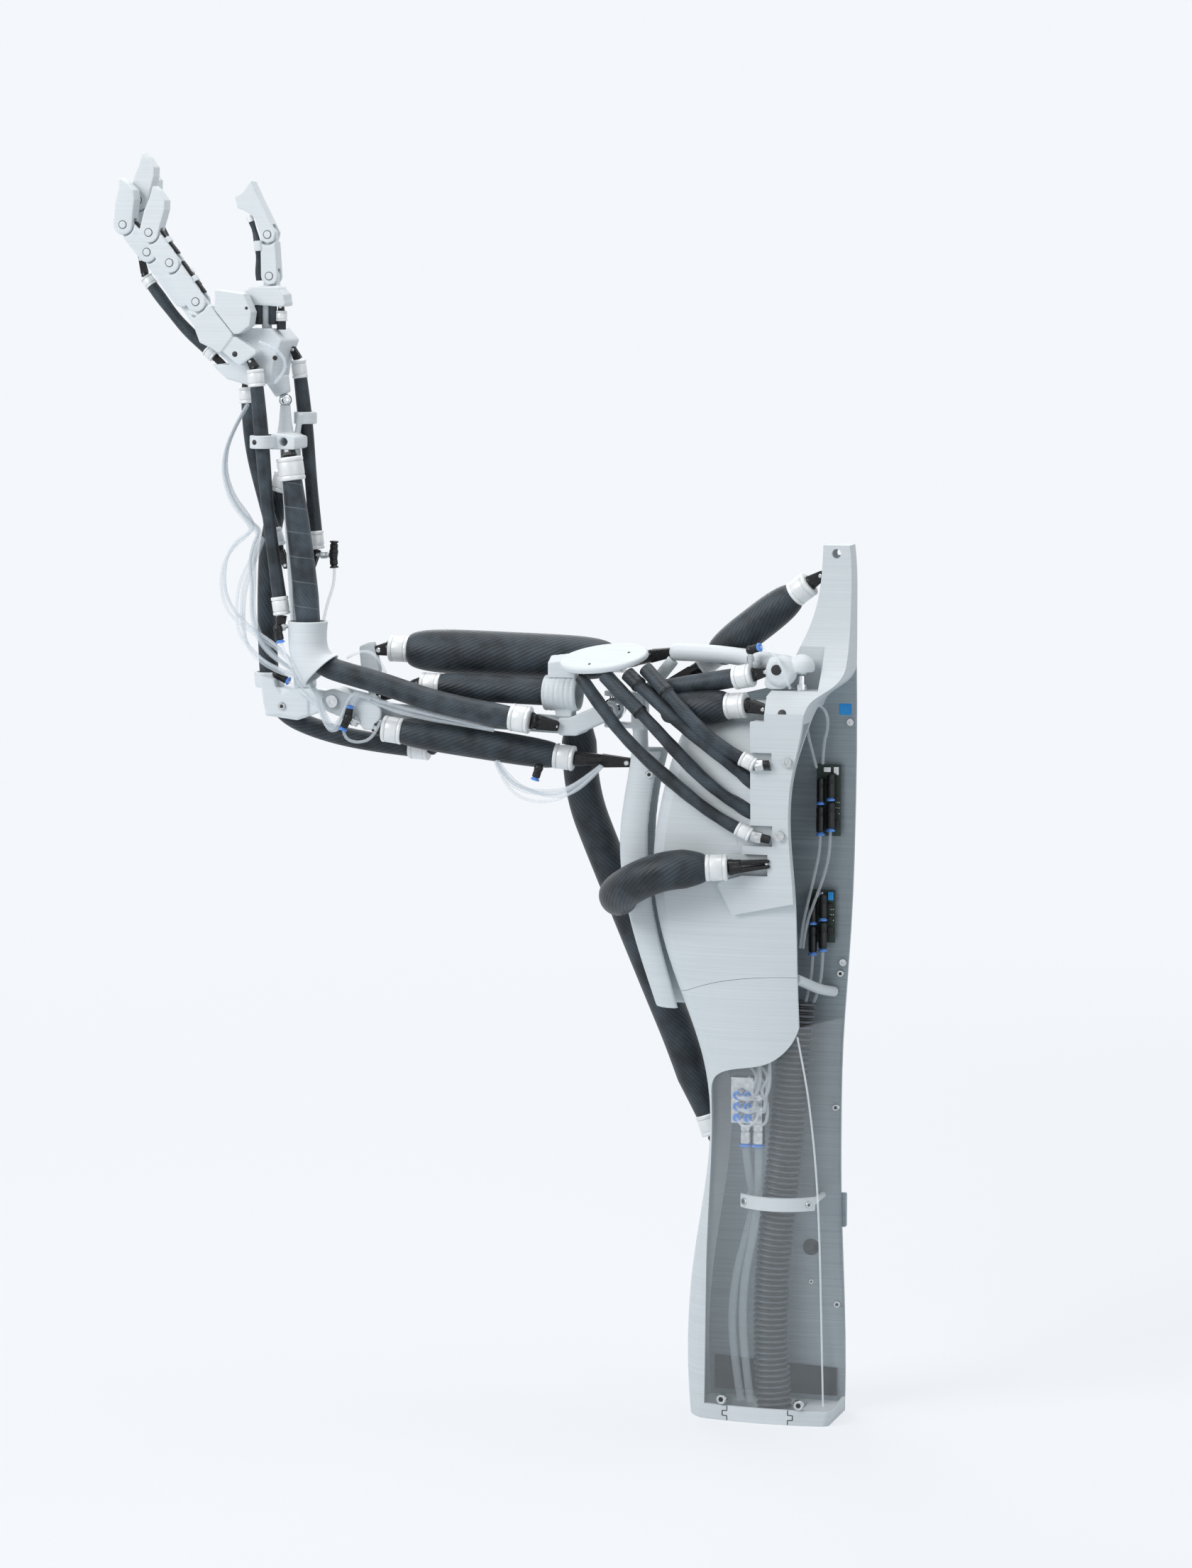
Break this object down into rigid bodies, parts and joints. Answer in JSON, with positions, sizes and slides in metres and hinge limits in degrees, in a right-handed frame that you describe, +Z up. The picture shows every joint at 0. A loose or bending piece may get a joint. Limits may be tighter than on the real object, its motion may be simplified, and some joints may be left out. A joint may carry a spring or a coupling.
{
  "type": "air-muscle humanoid arm",
  "caption": "Right humanoid arm moved by air muscles on a half-torso column: shoulder blade, collar bone, bent elbow, wrist and a jointed hand with thumb.",
  "frame": {"origin": "centre of the base's bolt pattern, on the face that stands on its support", "axes": "+Z up; the figure faces -Y; its right arm reaches out along -X with the forearm raised"},
  "size_m": [0.7445, 0.1468, 1.235],
  "materials": {
    "sintered_nylon": "light grey laser-sintered nylon, fine layer lines",
    "woven_muscle": "dark slate woven sleeve over a rubber tube",
    "ferrule_alloy": "pale satin aluminium",
    "black_fork": "black moulded plastic",
    "spine_metal": "slate grey, satin",
    "clear_acrylic": "clear bent pane",
    "hose_black": "dark corrugated plastic",
    "board_green": "dark green circuit board",
    "nickel": "nickel-plated fittings",
    "tube_blue": "blue polyurethane tube",
    "steel": "polished steel"
  },
  "bodies": {
    "torso": {"base_foot": "sintered_nylon", "spine_plate": "spine_metal", "chest_shell": "sintered_nylon", "waist_shell": "sintered_nylon", "window": "clear_acrylic", "hose_strap": "sintered_nylon", "corrugated_hose": "hose_black", "air_manifold": "ferrule_alloy", "torso_fittings": "nickel", "supply_tubes": "tube_blue", "valve_boards": "board_green", "cross_strut": "hose_black", "torso_screws": "steel", "sternum_stud": "steel", "torso_ferrules": "ferrule_alloy", "torso_forks": "black_fork", "pectoral_muscles": "woven_muscle", "latissimus_muscle": "woven_muscle", "girdle_muscles": "woven_muscle"},
    "shoulder_blade": {"scapula": "sintered_nylon", "clavicle": "sintered_nylon", "blade_ferrules": "ferrule_alloy", "blade_forks": "black_fork"},
    "shoulder_cross": {"shoulder_ball": "steel"},
    "upper_arm": {"humerus": "sintered_nylon", "deltoid_cap": "sintered_nylon", "muscle_sleeve": "sintered_nylon", "upper_arm_ferrules": "ferrule_alloy", "upper_arm_forks": "black_fork", "upper_arm_muscles": "woven_muscle", "elbow_axle": "steel"},
    "forearm": {"elbow_funnel": "sintered_nylon", "elbow_yoke": "sintered_nylon", "forearm_bone": "sintered_nylon", "wrist_bracket": "sintered_nylon", "forearm_ferrules": "ferrule_alloy", "forearm_forks": "black_fork", "elbow_muscles": "woven_muscle", "wrist_muscles": "woven_muscle"},
    "wrist_cross": {"wrist_ball": "steel"},
    "hand": {"palm": "sintered_nylon", "palm_cover": "sintered_nylon", "hand_ferrules": "ferrule_alloy", "hand_forks": "black_fork", "hand_muscles": "woven_muscle"},
    "little_proximal": {"little_proximal": "sintered_nylon"},
    "little_middle": {"little_middle": "sintered_nylon"},
    "little_tip": {"little_tip": "sintered_nylon"},
    "ring_proximal": {"ring_proximal": "sintered_nylon"},
    "ring_middle": {"ring_middle": "sintered_nylon"},
    "ring_tip": {"ring_tip": "sintered_nylon"},
    "middle_proximal": {"middle_proximal": "sintered_nylon"},
    "middle_middle": {"middle_middle": "sintered_nylon"},
    "middle_tip": {"middle_tip": "sintered_nylon"},
    "index_proximal": {"index_proximal": "sintered_nylon"},
    "index_middle": {"index_middle": "sintered_nylon"},
    "index_tip": {"index_tip": "sintered_nylon"},
    "thumb_base": {"thumb_base": "sintered_nylon"},
    "thumb_proximal": {"thumb_proximal": "sintered_nylon"},
    "thumb_tip": {"thumb_tip": "sintered_nylon"}
  },
  "joints": [
    {"name": "girdle_lift", "type": "hinge", "parent": "torso", "child": "shoulder_blade", "pos_m": [0.037, -0.02, 0.741], "axis": [0, 1, 0], "range_deg": [0, 10], "deforming": ["pectoral_muscles", "girdle_muscles", "latissimus_muscle"]},
    {"name": "shoulder_swing", "type": "hinge", "parent": "shoulder_blade", "child": "shoulder_cross", "pos_m": [-0.158, 0.006, 0.693], "axis": [0, 0, 1], "range_deg": [-15, 20]},
    {"name": "shoulder_lift", "type": "hinge", "parent": "shoulder_cross", "child": "upper_arm", "pos_m": [-0.158, 0.006, 0.693], "axis": [0, 1, 0], "range_deg": [-40, 6], "deforming": ["upper_arm_muscles", "blade_ferrules", "blade_forks"]},
    {"name": "elbow", "type": "hinge", "parent": "upper_arm", "child": "forearm", "pos_m": [-0.44, 0, 0.695], "axis": [0, 1, 0], "range_deg": [-55, 35], "deforming": ["elbow_muscles"]},
    {"name": "wrist_tilt", "type": "hinge", "parent": "forearm", "child": "wrist_cross", "pos_m": [-0.493, 0, 0.991], "axis": [1, 0, 0], "range_deg": [-12, 12]},
    {"name": "wrist_flex", "type": "hinge", "parent": "wrist_cross", "child": "hand", "pos_m": [-0.493, 0, 0.991], "axis": [0, 1, 0], "range_deg": [-15, 15], "deforming": ["wrist_muscles"]},
    {"name": "little_knuckle", "type": "hinge", "parent": "hand", "child": "little_proximal", "pos_m": [-0.571, -0.033, 1.088], "axis": [0, 1, 0], "range_deg": [-10, 25]},
    {"name": "little_mid_joint", "type": "hinge", "parent": "little_proximal", "child": "little_middle", "pos_m": [-0.598, -0.033, 1.126], "axis": [0, 1, 0], "range_deg": [-10, 25]},
    {"name": "little_end_joint", "type": "hinge", "parent": "little_middle", "child": "little_tip", "pos_m": [-0.6195, -0.033, 1.1555], "axis": [0, 1, 0], "range_deg": [-7, 17.5]},
    {"name": "ring_knuckle", "type": "hinge", "parent": "hand", "child": "ring_proximal", "pos_m": [-0.594, -0.011, 1.092], "axis": [0, 1, 0], "range_deg": [-10, 25], "deforming": ["hand_muscles"]},
    {"name": "ring_mid_joint", "type": "hinge", "parent": "ring_proximal", "child": "ring_middle", "pos_m": [-0.63, -0.011, 1.136], "axis": [0, 1, 0], "range_deg": [-10, 25]},
    {"name": "ring_end_joint", "type": "hinge", "parent": "ring_middle", "child": "ring_tip", "pos_m": [-0.655, -0.011, 1.163], "axis": [0, 1, 0], "range_deg": [-7, 17.5]},
    {"name": "middle_knuckle", "type": "hinge", "parent": "hand", "child": "middle_proximal", "pos_m": [-0.598, 0.011, 1.096], "axis": [0, 1, 0], "range_deg": [-10, 25]},
    {"name": "middle_mid_joint", "type": "hinge", "parent": "middle_proximal", "child": "middle_middle", "pos_m": [-0.632, 0.011, 1.147], "axis": [0, 1, 0], "range_deg": [-10, 25]},
    {"name": "middle_end_joint", "type": "hinge", "parent": "middle_middle", "child": "middle_tip", "pos_m": [-0.647, 0.011, 1.187], "axis": [0, 1, 0], "range_deg": [-7, 17.5]},
    {"name": "index_knuckle", "type": "hinge", "parent": "hand", "child": "index_proximal", "pos_m": [-0.6, 0.033, 1.094], "axis": [0, 1, 0], "range_deg": [-10, 25]},
    {"name": "index_mid_joint", "type": "hinge", "parent": "index_proximal", "child": "index_middle", "pos_m": [-0.635, 0.033, 1.141], "axis": [0, 1, 0], "range_deg": [-10, 25]},
    {"name": "index_end_joint", "type": "hinge", "parent": "index_middle", "child": "index_tip", "pos_m": [-0.651, 0.033, 1.177], "axis": [0, 1, 0], "range_deg": [-7, 17.5]},
    {"name": "thumb_turn", "type": "hinge", "parent": "hand", "child": "thumb_base", "pos_m": [-0.508, -0.01, 1.064], "axis": [0, 0, 1], "range_deg": [-25, 5]},
    {"name": "thumb_bend", "type": "hinge", "parent": "thumb_base", "child": "thumb_proximal", "pos_m": [-0.5025, -0.01, 1.113], "axis": [0, 1, 0], "range_deg": [-15, 8]},
    {"name": "thumb_end_joint", "type": "hinge", "parent": "thumb_proximal", "child": "thumb_tip", "pos_m": [-0.504, -0.01, 1.1535], "axis": [0, 1, 0], "range_deg": [-15, 8]}
  ],
  "couplings": [
    {"joint": "little_mid_joint", "follows": "little_knuckle", "ratio": 1},
    {"joint": "little_end_joint", "follows": "little_knuckle", "ratio": 0.7},
    {"joint": "ring_mid_joint", "follows": "ring_knuckle", "ratio": 1},
    {"joint": "ring_end_joint", "follows": "ring_knuckle", "ratio": 0.7},
    {"joint": "middle_mid_joint", "follows": "middle_knuckle", "ratio": 1},
    {"joint": "middle_end_joint", "follows": "middle_knuckle", "ratio": 0.7},
    {"joint": "index_mid_joint", "follows": "index_knuckle", "ratio": 1},
    {"joint": "index_end_joint", "follows": "index_knuckle", "ratio": 0.7},
    {"joint": "thumb_end_joint", "follows": "thumb_bend", "ratio": 1}
  ]
}
